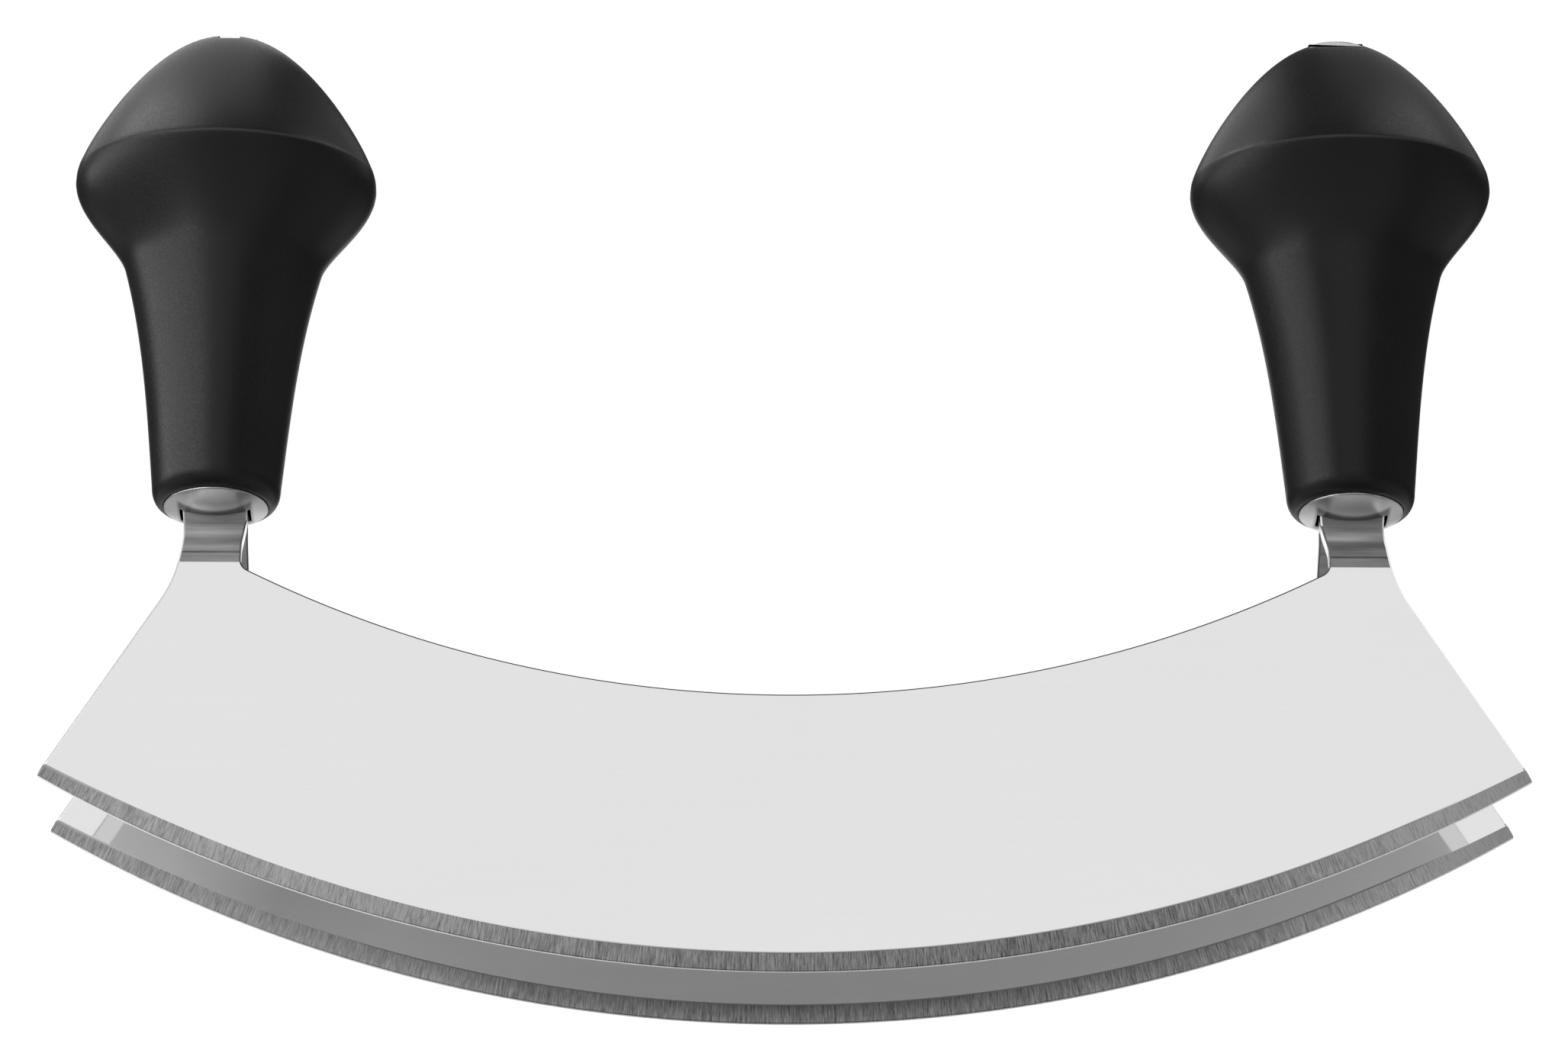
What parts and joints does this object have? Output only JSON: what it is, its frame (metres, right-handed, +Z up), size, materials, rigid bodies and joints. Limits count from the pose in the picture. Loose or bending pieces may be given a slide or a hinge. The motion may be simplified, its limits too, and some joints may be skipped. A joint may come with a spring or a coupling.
{
  "type": "mezzaluna",
  "caption": "Double-bladed rocking chopper: two parallel curved steel blades joined by joggled tangs to two upright black knob handles, for mincing herbs on a board.",
  "frame": {"origin": "On the board, midway between the two cutting edges and midway between the two handles: Z = 0 is the lowest point of both edges.", "axes": "+X along the blades from the left handle to the right one as seen from the front, -Y the front (the side of the front blade), +Z up from the cutting edges to the handles' crowns. The two blades mirror each other in the plane Y = 0."},
  "size_m": [0.2298, 0.034, 0.164],
  "materials": {
    "blade_steel": "Smooth flat faces with a soft shine; bevels and tang ends ground with fine lines across the edge.",
    "ferrule_steel": "Pressed cap with a satin shine.",
    "handle_plastic": "Moulded black plastic with a fine matt grain."
  },
  "bodies": {
    "root": {"front_blade": "blade_steel", "rear_blade": "blade_steel", "left_ferrule": "ferrule_steel", "right_ferrule": "ferrule_steel", "left_handle": "handle_plastic", "right_handle": "handle_plastic"}
  },
  "joints": []
}
